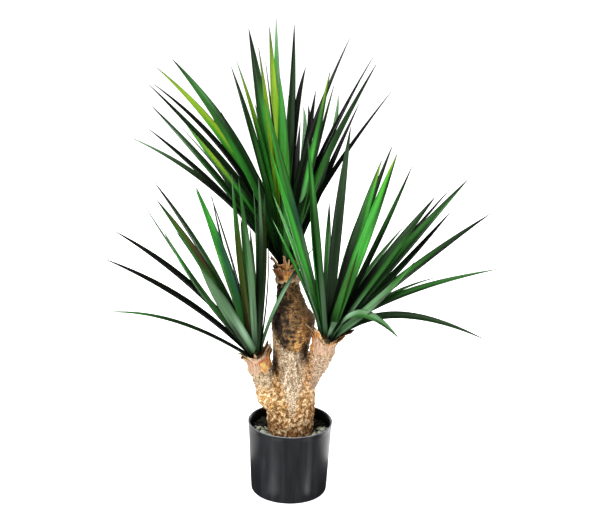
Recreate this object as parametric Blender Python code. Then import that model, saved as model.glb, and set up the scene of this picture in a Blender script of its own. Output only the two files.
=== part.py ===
"""Potted yucca: a cut cane with two side stubs and three heads of sword leaves, in a plain pot.

Run with: blender --background --python part.py
Lengths are millimetres, and add_object scales them to metres. +Z is up and -Y is the front.
The origin is the middle of the pot's flat bottom.
"""

import math
from collections import namedtuple

import bmesh
import bpy
from mathutils import Matrix, Vector, noise

MM = 0.001
GAP = 0.3            # clearance between pieces that touch
UP = Vector((0, 0, 1))

# Pot
POT_HEIGHT = 150.0
POT_TOP_RADIUS = 85.0
POT_BOTTOM_RADIUS = 76.5
POT_WALL = 2.5
POT_FLOOR = 3.0
POT_FOOT_ROUND = 5.0
RIM_DROP = 6.0       # height of the thicker band under the rim
RIM_BEAD = 0.8       # how far that band stands out

# Soil
SOIL_LEVEL = 127.0
SOIL_LUMP = 4.0      # how high the lumps of the surface stand

# Trunk: centre x, y, z and radius at each height
FOOT_DEPTH = 40.0    # how deep the trunk's foot stands in the soil
FOOT_RADIUS = 46.0
BARK_RELIEF = 1.6
CANE = (
    (0, 0, SOIL_LEVEL + 2, FOOT_RADIUS), (0, 0, 150, 47), (0, 0, 180, 49), (0, -1, 210, 49),
    (0, -1, 240, 45), (-1, 0, 270, 39), (-2, 0, 300, 36), (-1, 0, 330, 39), (1, 0, 352, 42.5),
    (2, 0, 371, 42), (-1, 0, 384, 36.5), (-4, 0, 396, 31), (-8, 0, 423, 25.5), (-11, 0, 440, 23),
)
LEFT_STUB = (
    (-20, -14, 172, 20), (-39, -24, 202, 27), (-46, -30, 232, 24), (-53, -35, 252, 24.5), (-57, -37, 264, 25),
)
RIGHT_STUB = (
    (12, -10, 175, 18), (22, -18, 207, 22), (29, -24, 234, 21), (39, -31, 262, 23.5), (49, -35, 286, 25.5),
    (55, -38, 302, 26),
)
END_INSET = 3.0      # the cut ends are thinner than the cane, to fit inside their sheaths
END_LENGTH = 16.0     # how much of them is plain

# A head of leaves grows from the cut end of a cane, out of a papery sheath.
# end: middle of the cut end; radius: the cane's there; lean: direction of its axis;
# side: -1 or 1 for a head at the left or right of the cane.
Head = namedtuple("Head", "name end radius lean side")
TOP = Head("top", Vector((-13, 0, 467)), 22.5, Vector((-0.06, 0, 1)).normalized(), 0)
LEFT = Head("left", Vector((-65, -41, 295)), 25.0, Vector((-0.22, -0.08, 1)).normalized(), -1)
RIGHT = Head("right", Vector((63, -41, 334)), 25.5, Vector((0.20, -0.08, 1)).normalized(), 1)
GROWING_POINT = 16.0  # height of the growing point over the cut end
CORE_RADIUS = 15.0
CORE_HEIGHT = 34.0    # height of the green core's tip over the growing point
ROOT_LOW = -13.0      # height of a level leaf's root over the growing point
ROOT_RISE = 18.0      # an upright leaf is rooted this much higher than a level one
ROOT_SPREAD = 12.0    # distance of a root from the axis

# Sheath: a torn papery tube. Flap: bearing in degrees from +X, height over the cut end,
# distance of its tip from the axis, and half its width in degrees.
SHEATH_WALL = 2.2
SHEATH_EDGE = 1.2
SHEATH_RIM = 10.0      # height of the tube's edge between its flaps
SHEATH_BELOW = 15.0   # how far the tube covers the cane below the cut end
SHEATH_SIDES = 30
Flap = namedtuple("Flap", "bearing height reach spread")
TOP_FLAPS = (
    Flap(182, 30, 37, 26), Flap(238, 14, 27, 20), Flap(277, 27, 29, 20), Flap(318, 12, 28, 18),
    Flap(352, 31, 32, 24), Flap(60, 20, 31, 30), Flap(120, 20, 32, 26),
)
LEFT_FLAPS = (
    Flap(188, 22, 54, 22), Flap(236, 20, 32, 22), Flap(284, 14, 31, 20), Flap(334, 52, 38, 30),
    Flap(100, 16, 32, 28), Flap(150, 18, 33, 22),
)
RIGHT_FLAPS = (
    Flap(208, 40, 56, 34), Flap(342, 40, 57, 40), Flap(50, 16, 34, 26), Flap(95, 18, 33, 24),
)

# Leaves. Each row is one leaf: where its tip is from the head's growing point (across to +X,
# away from the front to +Y, up), how high its middle arches over the straight line to the tip,
# how far its middle bows to +X, its greatest width, by how many degrees its upper face turns to
# the front, and the part of the length where the arch is centred.
Leaf = namedtuple("Leaf", "across away up arch bow width turn bend", defaults=(0.5,))
TOP_LEAVES = (
    Leaf(-110, -50, 389, 10, -3, 24, 50), Leaf(-103, -10, 395, 8, 3, 18, 40), Leaf(-82, 20, 451, 4, 0, 27, 60),
    Leaf(-61, -40, 426, 4, 0, 22, 60), Leaf(-48, -20, 396, 4, 0, 18, 30), Leaf(-43, 10, 457, 2, 0, 20, 60),
    Leaf(-31, 30, 471, 0, -3, 18, 60), Leaf(-22, -30, 376, 6, 0, 28, 0), Leaf(3, 60, 456, 0, 0, 20, 40),
    Leaf(27, 60, 374, 0, -12, 16, 10, 0.7), Leaf(48, 120, 320, 1, 0, 18, 10),
    Leaf(33, 160, 281, 0, 12, 14, 0, 0.8), Leaf(23, 170, 277, 0, 12, 12, 0, 0.8),
    Leaf(19, 190, 242, 6, 0, 14, 0), Leaf(110, 40, 437, 28, 0, 13, 40, 0.37), Leaf(72, -20, 381, 0, 1, 24, 50),
    Leaf(81, 0, 353, 2, 0, 15, 30), Leaf(91, 90, 319, 0, 15, 12, 30, 0.7),
    Leaf(152, -20, 411, 24, 0, 15, 40, 0.25), Leaf(144, 54, 378, 22, 0, 12, 35, 0.25),
    Leaf(158, -40, 402, 18, 0, 23, 50, 0.26), Leaf(135, 100, 303, 3, 0, 14, 30, 0.3),
    Leaf(192, 20, 341, 20, 0, 12, 45, 0.24), Leaf(-260, 60, 366, 37, 0, 22, 30),
    Leaf(-222, -20, 396, 28, 0, 28, 50), Leaf(-190, 80, 334, 16, 0, 22, 40),
    Leaf(-276, 60, 334, 28, 0, 24, 20, 0.3), Leaf(-259, -10, 347, 36, 0, 15, 35),
    Leaf(-257, -50, 313, 9, 0, 22, 30), Leaf(-272, 30, 252, 14, 0, 24, 10), Leaf(-299, 0, 239, 29, 0, 18, 25),
    Leaf(-201, -40, 270, 10, 0, 14, 10), Leaf(-195, -20, 273, 6, 0, 22, 40),
)
TOP_FAR = (
    Leaf(-72, 120, 290, 10, 0, 16, 0), Leaf(-38, 150, 300, 8, 0, 16, 0), Leaf(-6, 170, 300, 8, 0, 16, 0),
    Leaf(60, 170, 250, 8, 0, 15, 0), Leaf(95, 140, 270, 10, 0, 15, 0), Leaf(-140, 130, 270, 12, 0, 16, 0),
    Leaf(-160, 170, 190, 12, 0, 15, 0), Leaf(-60, 200, 210, 12, 0, 16, 0), Leaf(-10, 220, 190, 12, 0, 16, 0),
    Leaf(40, 200, 150, 12, 0, 15, 0), Leaf(-70, 210, 130, 12, 0, 15, 0),
)
LEFT_LEAVES = (
    Leaf(-197, -20, 344, 13, 0, 24, 20), Leaf(-190, -50, 319, 9, 0, 24, 45), Leaf(-222, 6, 298, -8, 0, 12, 10),
    Leaf(-179, -40, 258, -10, 0, 16, 40), Leaf(-277, 0, 241, 22, 0, 20, 20), Leaf(-299, 0, 185, 20, 0, 18, 20),
    Leaf(-298, 0, 75, 26, 0, 18, 0, 0.6), Leaf(-115, -60, 347, 3, 2, 29, 60),
    Leaf(-119, -30, 337, 3, 2, 20, 40), Leaf(-93, 0, 318, 2, 5, 12, 10), Leaf(-51, -30, 367, 2, -6, 18, 70),
    Leaf(-12, -10, 345, 0, 7, 14, 20), Leaf(-1, -30, 362, 0, 5, 18, 30), Leaf(10, -20, 328, 0, 4, 18, 20),
    Leaf(-36, -90, 374, 2, 4, 15, 0), Leaf(17, 0, 253, 0, 7, 8, 10), Leaf(109, 0, 222, 14, 0, 10, 40),
    Leaf(-107, -90, 206, 0, 0, 26, -45), Leaf(-92, 30, 308, 0, -6, 14, 0),
)
LEFT_FAR = (
    Leaf(-149, 120, 219, 6, 0, 14, 0), Leaf(-166, 60, 228, 8, 0, 14, 10), Leaf(-101, 150, 205, 4, 0, 16, 0),
    Leaf(-90, 200, 176, 6, 0, 14, 0), Leaf(-76, 100, 178, 4, 0, 14, 0), Leaf(-42, 140, 238, 4, 0, 14, 0),
    Leaf(-20, 90, 230, 4, 0, 12, 0), Leaf(-107, 70, 123, 4, 0, 14, 0),
)
RIGHT_LEAVES = (
    Leaf(-127, -60, 476, 0, 0, 30, 60), Leaf(-117, -70, 388, 2, 0, 24, 60), Leaf(-110, -90, 310, 4, 0, 22, 50),
    Leaf(-108, -110, 264, 6, 0, 20, 50), Leaf(-47, -70, 410, 0, 0, 19, 0), Leaf(-41, -50, 346, 0, -3, 16, -10),
    Leaf(34, 20, 414, 0, -6, 20, 60), Leaf(91, -40, 363, 4, 0, 29, 65), Leaf(116, -80, 385, 4, 3, 32, 70),
    Leaf(114, 20, 379, 6, 0, 18, 35), Leaf(151, 0, 344, -4, 0, 16, 35), Leaf(193, -50, 299, 3, 0, 26, 50),
    Leaf(226, 0, 303, 4, 0, 12, 35), Leaf(255, -20, 326, 4, 0, 26, 40), Leaf(231, 4, 259, -5, 0, 16, 35),
    Leaf(301, -30, 264, 8, 0, 23, 30), Leaf(155, -110, 190, -8, 0, 20, 60),
    Leaf(326, -20, 152, 30, 0, 20, 25, 0.3), Leaf(309, -20, 6, 54, 0, 20, 25, 0.34),
    Leaf(134, -110, 38, 54, 0, 22, 30), Leaf(16, -34, 44, 0, 0, 24, 20),
)
RIGHT_FAR = (
    Leaf(-30, 60, 170, 6, 0, 15, 0), Leaf(0, 120, 240, 8, 0, 15, 0), Leaf(70, 90, 250, 10, 0, 16, 0),
    Leaf(95, 130, 230, 12, 0, 16, 0), Leaf(150, 120, 190, 12, 0, 16, 0), Leaf(190, 90, 190, 12, 0, 16, 0),
    Leaf(130, 150, 130, 14, 0, 15, 0), Leaf(220, 80, 100, 20, 0, 15, 0),
)
BLADE_STEPS = 7        # cross-sections from root to tip
BLADE_THICK = 1.7      # at the rib
BLADE_FOLD = 0.13      # depth of the blade's channel as a part of its width
BLADE_WIDEST = 0.45    # where the blade is widest, as a part of its length
BLADE_ROOT_WIDTH = 0.85
CUT_SHORT = 60.0       # a leaf shorter than this was cut off: it widens up to a blunt end
CUT_ROOT_WIDTH = 0.3

PLASTIC = ("black_plastic", (0.012, 0.013, 0.014), 0.42)
EARTH = ("soil_and_moss", (0.16, 0.15, 0.10), 0.95)
BARK = ("bark", (0.42, 0.27, 0.13), 0.85)
PAPER = ("dry_sheath", (0.62, 0.38, 0.20), 0.80)
GREEN = ("leaf_green", (0.03, 0.16, 0.04), 0.45)


def clear_scene():
    for obj in list(bpy.data.objects):
        bpy.data.objects.remove(obj, do_unlink=True)


def make_material(spec):
    name, colour, roughness = spec
    material = bpy.data.materials.get(name)
    if material is None:
        material = bpy.data.materials.new(name)
        material.use_nodes = True
        shader = material.node_tree.nodes["Principled BSDF"]
        shader.inputs["Base Color"].default_value = (*colour, 1)
        shader.inputs["Roughness"].default_value = roughness
    return material


def add_object(name, bm, spec, location=Vector((0, 0, 0))):
    """Make an object of a mesh in millimetres, with its origin at a place in millimetres."""
    bmesh.ops.recalc_face_normals(bm, faces=bm.faces)
    mesh = bpy.data.meshes.new(name)
    bm.to_mesh(mesh)
    bm.free()
    mesh.transform(Matrix.Scale(MM, 4))
    mesh.materials.append(make_material(spec))
    mesh.shade_smooth()
    mesh.set_sharp_from_angle(angle=math.radians(40))
    obj = bpy.data.objects.new(name, mesh)
    obj.location = location * MM
    bpy.context.scene.collection.objects.link(obj)
    return obj


def skin_rings(bm, rings):
    """Join rings of points with faces, and close the first and the last ring."""
    made = [[bm.verts.new(point) for point in ring] for ring in rings]
    for low, high in zip(made, made[1:]):
        for i in range(len(low)):
            j = (i + 1) % len(low)
            bm.faces.new((low[i], low[j], high[j], high[i]))
    bm.faces.new(made[0][::-1])
    bm.faces.new(made[-1])


def circle(centre, radius, sides, across=Vector((1, 0, 0)), over=Vector((0, 1, 0))):
    turns = (2 * math.pi * k / sides for k in range(sides))
    return [centre + radius * (math.cos(a) * across + math.sin(a) * over) for a in turns]


def turned(profile, sides):
    """Turn a profile of (radius, height) points, from the middle of the bottom to the middle of the top."""
    bm = bmesh.new()
    skin_rings(bm, [circle(Vector((0, 0, z)), r, sides) for r, z in profile])
    return bm


def smooth_step(t):
    t = min(1.0, max(0.0, t))
    return t * t * (3 - 2 * t)


def union(base, others):
    """Fuse the other objects into the base, and remove them."""
    group = bpy.data.collections.new(base.name + "_parts")
    for obj in others:
        bpy.context.scene.collection.objects.unlink(obj)
        group.objects.link(obj)
    bpy.context.scene.collection.children.link(group)
    fuse = base.modifiers.new("fuse", "BOOLEAN")
    fuse.operation = "UNION"
    fuse.solver = "EXACT"
    fuse.operand_type = "COLLECTION"
    fuse.collection = group
    bpy.context.view_layer.update()
    fused = bpy.data.meshes.new_from_object(base.evaluated_get(bpy.context.evaluated_depsgraph_get()))
    base.modifiers.clear()
    base.data = fused
    for obj in others:
        bpy.data.objects.remove(obj, do_unlink=True)
    bpy.data.collections.remove(group)
    drop_scraps(fused)
    return base


def drop_scraps(mesh):
    """Keep only the largest connected piece of a mesh, split into triangles."""
    bm = bmesh.new()
    bm.from_mesh(mesh)
    bmesh.ops.remove_doubles(bm, verts=bm.verts, dist=1e-6)
    bmesh.ops.triangulate(bm, faces=bm.faces)
    unseen = set(bm.verts)
    pieces = []
    while unseen:
        piece, edge_of = set(), [unseen.pop()]
        while edge_of:
            vert = edge_of.pop()
            piece.add(vert)
            for edge in vert.link_edges:
                other = edge.other_vert(vert)
                if other in unseen:
                    unseen.discard(other)
                    edge_of.append(other)
        pieces.append(piece)
    pieces.sort(key=len)
    bmesh.ops.delete(bm, geom=[v for piece in pieces[:-1] for v in piece], context="VERTS")
    bm.to_mesh(mesh)
    bm.free()


# Pot and soil
def pot_radius(z):
    return POT_BOTTOM_RADIUS + (POT_TOP_RADIUS - RIM_BEAD - POT_BOTTOM_RADIUS) * z / POT_HEIGHT


def make_pot():
    foot = [(POT_BOTTOM_RADIUS - POT_FOOT_ROUND * (1 - math.sin(a)), POT_FOOT_ROUND * (1 - math.cos(a)))
            for a in (math.radians(d) for d in (0, 30, 60, 90))]
    band = POT_HEIGHT - RIM_DROP
    profile = foot + [
        (pot_radius(band - 1), band - 1), (pot_radius(band) + RIM_BEAD, band + 0.5),
        (POT_TOP_RADIUS, POT_HEIGHT - 1), (POT_TOP_RADIUS - 0.6, POT_HEIGHT),
        (POT_TOP_RADIUS - POT_WALL, POT_HEIGHT), (pot_radius(POT_HEIGHT - 2) - POT_WALL, POT_HEIGHT - 2),
        (pot_radius(POT_FLOOR) - POT_WALL, POT_FLOOR),
    ]
    return add_object("pot", turned(profile, 56), PLASTIC)


def make_soil():
    """A turned block that fills the pot up to its lumpy surface, with a plain hole for the trunk's foot."""
    hole = FOOT_RADIUS + GAP
    inner = [pot_radius(z) - POT_WALL - GAP for z in (POT_FLOOR, SOIL_LEVEL)]
    sides = 56
    edge = [(inner[0], POT_FLOOR + GAP), (inner[1], SOIL_LEVEL - 4)]
    top = [(inner[1] - step * (inner[1] - hole) / 4, SOIL_LEVEL) for step in (0.12, 1.1, 2.1, 3.1)]
    bottom = [(hole, SOIL_LEVEL - 2), (hole, SOIL_LEVEL - FOOT_DEPTH - GAP)]
    bm = turned(edge + top + bottom, sides)
    for vert in bm.verts:
        if vert.co.z > SOIL_LEVEL - 1:
            vert.co.z += SOIL_LUMP * noise.noise(vert.co / 11)
    return add_object("soil", bm, EARTH)


# Trunk
def along(stations, spacing):
    """Points and radii read at even heights from a smooth curve through the stations."""
    rows = [Vector(row) for row in stations]
    rows = [2 * rows[0] - rows[1]] + rows + [2 * rows[-1] - rows[-2]]
    out = []
    for a, b, c, d in zip(rows, rows[1:], rows[2:], rows[3:]):
        steps = max(1, round((c - b).to_3d().length / spacing))
        for k in range(steps):
            t = k / steps
            out.append(0.5 * (2 * b + (c - a) * t + (2 * a - 5 * b + 4 * c - d) * t * t
                              + (3 * b - a - 3 * c + d) * t ** 3))
    return out + [rows[-2]]


def bark(point):
    """Relief of the bark: broad lumps, and narrow rings that run around the cane."""
    lumps = noise.noise(point / 16)
    rings = noise.noise(Vector((point.x / 30, point.y / 30, point.z / 7)) + Vector((7, 3, 5)))
    return BARK_RELIEF * (0.9 * lumps + 0.8 * rings)


def limb(stations, head, sides, spacing):
    """One length of cane with bark, ending in the plain cut end that its head grows from."""
    bm = bmesh.new()
    rings = []
    if stations is CANE:
        rings.append(circle(Vector((0, 0, SOIL_LEVEL - FOOT_DEPTH)), FOOT_RADIUS, sides))
        rings.append(circle(Vector((0, 0, SOIL_LEVEL + 6)), FOOT_RADIUS, sides))
    rows = along(stations, spacing)
    for row in rows[1 if rings else 0:]:
        centre, radius = row.to_3d(), row[3]
        ring = circle(centre, radius, sides)
        rings.append([p + (p - centre).normalized() * bark(p) for p in ring])
    side = head.lean.cross(Vector((0, 1, 0))).normalized()
    over = head.lean.cross(-side)
    for drop, radius in ((END_LENGTH + 1.5, head.radius), (END_LENGTH, head.radius - END_INSET),
                         (0, head.radius - END_INSET)):
        rings.append(circle(head.end - head.lean * drop, radius, sides, -side, over))
    for ring in rings:
        first = min(range(sides), key=lambda k: -ring[k].x)
        ring[:] = ring[first:] + ring[:first]
    skin_rings(bm, rings)
    return bm


def make_trunk():
    trunk = add_object("trunk", limb(CANE, TOP, 26, 12), BARK)
    stubs = [add_object("left_stub", limb(LEFT_STUB, LEFT, 18, 12), BARK),
             add_object("right_stub", limb(RIGHT_STUB, RIGHT, 18, 12), BARK)]
    return union(trunk, stubs)


# Sheaths
def head_axes(head):
    across = Vector((0, 1, 0)).cross(head.lean).normalized()
    return across, head.lean.cross(across)


def flap_shape(flaps, bearing, radius):
    """Height and reach of the torn edge at a bearing: the rim's own, raised to a point by each flap."""
    height, reach = SHEATH_RIM, radius + 2.5
    for flap in flaps:
        off = abs((bearing - flap.bearing + 180) % 360 - 180) / flap.spread
        if off < 1:
            share = (1 - off) ** 0.9
            height += (flap.height - SHEATH_RIM) * share
            reach += (flap.reach - radius - 2.5) * share
    return height, reach


def make_sheath(head, flaps):
    """A torn tube round the cut end. It widens upward and its flaps bend out."""
    across, over = head_axes(head)
    inner = head.radius - END_INSET + 2 * GAP
    levels = (0.0, 0.35, 0.7, 1.0)
    outside, inside = [], []
    for level in levels:
        out_ring, in_ring = [], []
        for k in range(SHEATH_SIDES):
            turn = 2 * math.pi * k / SHEATH_SIDES
            height, reach = flap_shape(flaps, math.degrees(turn), head.radius)
            wall = SHEATH_WALL + 1.2 + (SHEATH_EDGE - SHEATH_WALL - 1.2) * level
            radius = inner + (reach - inner - wall) * max(0.0, (level - 0.3) / 0.7) ** 1.5
            rise = -SHEATH_BELOW + (height + SHEATH_BELOW) * level
            spoke = math.cos(turn) * across + math.sin(turn) * over
            out_ring.append((radius + wall) * spoke + rise * head.lean)
            in_ring.append(radius * spoke + (rise - 0.4 * level) * head.lean)
        outside.append(out_ring)
        inside.append(in_ring)
    bm = bmesh.new()
    made = [[bm.verts.new(p) for p in ring] for ring in outside + inside[::-1]]
    for low, high in zip(made, made[1:] + made[:1]):
        for i in range(SHEATH_SIDES):
            j = (i + 1) % SHEATH_SIDES
            bm.faces.new((low[i], low[j], high[j], high[i]))
    return add_object("sheath_" + head.name, bm, PAPER, head.end)


# Leaves
def blade_curve(head, leaf):
    """Root, middle control point and tip of a leaf's arch, from the growing point."""
    tip = Vector((leaf.across, leaf.away, leaf.up))
    outward = Vector((tip.x, tip.y, 0)).normalized()
    rise = max(0.0, tip.normalized().z)
    root = head.lean * (ROOT_LOW + ROOT_RISE * rise ** 2) + outward * ROOT_SPREAD * (1 - 0.5 * rise)
    chord = tip - root
    side = outward.cross(UP)
    lift = side.cross(chord).normalized()
    return root, root + leaf.bend * chord + 2 * leaf.arch * lift + Vector((2 * leaf.bow, 0, 0)), tip, side


def blade_frames(head, leaf, steps):
    """Centre, width direction, face direction and part of the length at even steps of a blade."""
    root, bend, tip, side = blade_curve(head, leaf)
    if side.y < 0:
        side = -side
    up_side = 1 if (tip - root).cross(side).z >= 0 else -1
    turn = math.radians(leaf.turn)
    frames = []
    for k in range(steps + 1):
        t = k / steps
        centre = (1 - t) ** 2 * root + 2 * t * (1 - t) * bend + t * t * tip
        run = ((1 - t) * (bend - root) + t * (tip - bend)).normalized()
        face = up_side * run.cross(side).normalized()
        frames.append((centre, math.cos(turn) * side + math.sin(turn) * face,
                       math.cos(turn) * face - math.sin(turn) * side, t))
    return frames


def blade_width(leaf, t):
    """Width of a blade at a part of its length: a waist at the root, then full, then a long point."""
    if Vector((leaf.across, leaf.away, leaf.up)).length < CUT_SHORT:
        return CUT_ROOT_WIDTH + (1 - CUT_ROOT_WIDTH) * t
    if t < BLADE_WIDEST:
        return BLADE_ROOT_WIDTH + (1 - BLADE_ROOT_WIDTH) * smooth_step(t / BLADE_WIDEST)
    return math.sin(math.pi / 2 * (1 - t) / (1 - BLADE_WIDEST)) ** 0.9


def blade_mesh(head, leaf):
    """A folded sword blade: four long faces, two above and two below, that meet in the tip."""
    bm = bmesh.new()
    rings = []
    for centre, wide, face, t in blade_frames(head, leaf, BLADE_STEPS)[:-1]:
        half = leaf.width / 2 * blade_width(leaf, t)
        fold = -2 * half * BLADE_FOLD
        thick = BLADE_THICK * (1 - 0.45 * t)
        rings.append([bm.verts.new(centre + p) for p in (
            -half * wide, (fold - thick / 2) * face, half * wide, (fold + thick / 2) * face)])
    for low, high in zip(rings, rings[1:]):
        for i in range(4):
            j = (i + 1) % 4
            bm.faces.new((low[i], low[j], high[j], high[i]))
    bm.faces.new(rings[0][::-1])
    tip = bm.verts.new(blade_frames(head, leaf, 1)[-1][0])
    for i in range(4):
        bm.faces.new((rings[-1][i], rings[-1][(i + 1) % 4], tip))
    return bm


def growing_point(head):
    return head.end + head.lean * GROWING_POINT


def make_core(head):
    """The green core that the leaves are rooted in. It stands on the cut end of the cane."""
    across, over = head_axes(head)
    rings = []
    for rise, radius in ((GAP - GROWING_POINT, 0.8), (0, 1.0), (0.55 * CORE_HEIGHT, 0.8), (CORE_HEIGHT, 0.35)):
        rings.append(circle(head.lean * rise, CORE_RADIUS * radius, 12, across, over))
    bm = bmesh.new()
    skin_rings(bm, rings)
    return add_object("leaves_" + head.name, bm, GREEN, growing_point(head))


def make_head(head, leaves):
    core = make_core(head)
    blades = [add_object("blade", blade_mesh(head, leaf), GREEN, growing_point(head)) for leaf in leaves]
    return union(core, blades)


def main():
    clear_scene()
    make_pot()
    make_soil()
    make_trunk()
    for head, flaps in ((TOP, TOP_FLAPS), (LEFT, LEFT_FLAPS), (RIGHT, RIGHT_FLAPS)):
        make_sheath(head, flaps)
    make_head(TOP, TOP_LEAVES + TOP_FAR)
    make_head(LEFT, LEFT_LEAVES + LEFT_FAR)
    make_head(RIGHT, RIGHT_LEAVES + RIGHT_FAR)


main()
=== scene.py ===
"""Looks of a potted yucca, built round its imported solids.

Lengths are millimetres, and make_piece scales them to metres. +Z is up and -Y is the front.
The origin is the middle of the pot's flat bottom.
"""

import math
import random
from collections import namedtuple

import bmesh
import bpy
import numpy as np
from mathutils import Matrix, Vector, noise


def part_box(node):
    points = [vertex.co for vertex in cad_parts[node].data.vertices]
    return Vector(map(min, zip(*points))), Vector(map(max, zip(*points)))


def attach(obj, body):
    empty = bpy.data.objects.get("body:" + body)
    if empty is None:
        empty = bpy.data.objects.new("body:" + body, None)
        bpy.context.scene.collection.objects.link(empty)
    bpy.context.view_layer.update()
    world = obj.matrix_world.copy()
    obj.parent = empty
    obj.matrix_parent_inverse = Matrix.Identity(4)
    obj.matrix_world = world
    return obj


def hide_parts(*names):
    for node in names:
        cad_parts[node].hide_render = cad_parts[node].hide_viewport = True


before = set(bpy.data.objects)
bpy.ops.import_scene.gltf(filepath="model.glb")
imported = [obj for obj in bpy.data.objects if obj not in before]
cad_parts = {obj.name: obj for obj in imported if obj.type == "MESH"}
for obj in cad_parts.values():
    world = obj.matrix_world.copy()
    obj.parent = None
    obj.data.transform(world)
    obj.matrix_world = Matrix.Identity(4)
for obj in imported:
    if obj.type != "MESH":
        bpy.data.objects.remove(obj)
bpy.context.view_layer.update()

MM = 0.001
UP = Vector((0, 0, 1))

# Pot
POT_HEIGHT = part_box("pot")[1].z / MM
POT_TOP_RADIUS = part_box("pot")[1].x / MM
POT_BOTTOM_RADIUS = 76.5
POT_WALL = 2.5
POT_FLOOR = 3.0
POT_FOOT_ROUND = 5.0
POT_FOOT_RING = 14.0   # how far in from the wall the bottom has its ring of points
POT_SIDES = 160
OUTER_RINGS = (20, 50, 80, 110, 135)    # heights of the rings of points on the wall's outside
INNER_RINGS = (130, 100, 50)            # and on its inside
RIM_DROP = 6.0         # height of the thicker band under the rim
RIM_BEAD = 0.8         # how far that band stands out
BEAD_START = 1.2       # the slope up to that band: its start and middle under the band's foot,
BEAD_MIDDLE = 0.4
BEAD_END = 0.6         # and its end over it
LIP_ROUND = 0.9        # rounding of the rim's top edges
LIP_EDGE = 0.4         # height of the plain edge under that rounding
INNER_MARGIN = 1.0     # a point this far in from the outside belongs to the inside
AXIS_RADIUS = 0.01     # of the rings of points that stand for the middle of the bottom and the floor
POT_SHADES = {"outside": "323336", "lip": "8e9094", "inside": "0c0c0d"}    # the lip's pale line is a painted highlight, and the dark inside is painted shade

# Soil
SOIL_LEVEL = 127.0
SOIL_RELIEF = 4.0      # how far its surface rises and falls
SOIL_HUMPS = 11.0      # width of its broad humps
SOIL_CLODS = 4.0       # and of the clods on them
SOIL_GAP = 0.3         # between the soil and the wall at the top
SOIL_FOOT_GAP = 0.5    # and at the bottom
SOCKET_INSET = 3.0     # how far the soil's hole is smaller than the trunk's foot, which fills it
SOCKET_DEPTH = 12.0
SOIL_SIDES = 120
SOIL_STEPS = 18        # rings of faces from the wall to the hole
LUMP_COUNT = 520       # lumps of moss and gravel on the soil
LUMP_SIZES = (1.6, 4.6)
LUMP_SEED = 11
LUMP_RISE = 0.35       # part of its size by which a lump's middle lies over the soil
LUMP_ROUGH = 0.28      # part of its size by which its surface goes in and out
LUMP_STRETCH = ((0.8, 1.3), (0.8, 1.3), (0.5, 0.9))     # limits of its width, depth and height
TRUNK_CLEAR = 2.0      # from the trunk's foot to the nearest lump's middle
WALL_CLEAR = 4.0       # from the pot's wall to the nearest one
PALE_BESIDE = 38.0     # dry pale lumps lie this far to the left and right of the middle,
PALE_BEFORE = 12.0     # and no further back than this
PALE_SHARE = 0.9
PALE_LUMPS = ("ccd2c0", "b0b8a4", "e6eade", "9aa28e", "c8c0ac")
# the other lumps are dark: mostly painted shade over the soil in shadow, with a few dark ones in front
DARK_AND_SHADED_LUMPS = ("2a2a20", "3a3c2e", "201d16", "33342a")

# Trunk: centre x, y, z and radius at each height
FOOT_DEPTH = 40.0
FOOT_RADIUS = 46.0
CANE = (
    (0, 0, SOIL_LEVEL + 2, FOOT_RADIUS), (0, 0, 150, 47), (0, 0, 180, 49), (0, -1, 210, 49),
    (0, -1, 240, 45), (-1, 0, 270, 39), (-2, 0, 300, 36), (-1, 0, 330, 39), (1, 0, 352, 42.5),
    (2, 0, 371, 42), (-1, 0, 384, 36.5), (-4, 0, 396, 31), (-8, 0, 423, 25.5), (-11, 0, 440, 23),
)
LEFT_STUB = (
    (-20, -14, 172, 20), (-39, -24, 202, 27), (-46, -30, 232, 24), (-53, -35, 252, 24.5),
    (-57, -37, 264, 25),
)
RIGHT_STUB = (
    (12, -10, 175, 18), (22, -18, 207, 22), (29, -24, 234, 21), (39, -31, 262, 23.5), (49, -35, 286, 25.5),
    (55, -38, 302, 26),
)
STATION_SPACING = 8.0  # between the rings of points along a cane
FOOT_RISE = 6.0        # how far the plain foot comes up out of the soil
CANE_SIDES = 96
STUB_SIDES = 64
END_INSET = 3.0        # a cut end is this much thinner than its cane,
END_LENGTH = 16.0      # over this length,
END_SHOULDER = 1.5     # after a shoulder of this length
BARK_VOXEL = 1.7       # size of the trunk's faces
BARK_SMOOTHING = 6     # passes that round the joints of the stubs

# Bark. Its zones are the golden foot, a grey tongue between the stubs, the stubs themselves, and
# a dark neck over the ledge, which is the swelling's lower edge. The neck's darkness is partly its
# own brown and partly painted shade under the top head.
BARK = {
    "foot": "b0804a",
    "gold": "cea66c",
    "rust": "aa7c4a",
    "cream": "f0dcba",     # tops of the flakes: partly pale fibres, partly painted highlight
    "grey": "b5a48c",      # tongue
    "ash": "dccfbc",       # its streaks
    "sand": "bcae98",      # left stub
    "blush": "c0ae9e",     # right stub
    "umber": "2b1e15",     # gaps between flakes and the neck, both partly painted shade; also painted shade under the ledge and in the folds beside the stubs
    "brown": "9a7a50",
    "olive": "5f5238",
}
LEDGE_LOW = 309.0      # height of the ledge at the front
LEDGE_MIDDLE = 4.0     # and the x at which it is lowest
TONGUE_FOOT = 165.0    # heights at which the tongue starts,
STUB_FOOT = 195.0      # and at which the stubs start and end
STUB_TOP = 345.0
STUB_FOLD_SHADE = ((-1, 36, 258, 312), (1, 28, 283, 330))    # folds beside the stubs, darkened with painted shade: side, x, foot, top
BARK_LUMP = 16.0       # widths of the bark's patterns
BARK_PATCH = 14.0
BARK_WANDER = 13.0
BARK_FLAKE = 6.5
BARK_FRAY = 5.0
BARK_SPECK = 3.4
BARK_CRUMB = 2.8
BARK_RINGS = (24.0, 4.0)       # width and height of the grains of its rings, ridges, streaks and bands
BARK_RIDGES = (4.0, 22.0)
BARK_STREAKS = (3.0, 20.0)
BARK_BANDS = (20.0, 2.6)

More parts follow.
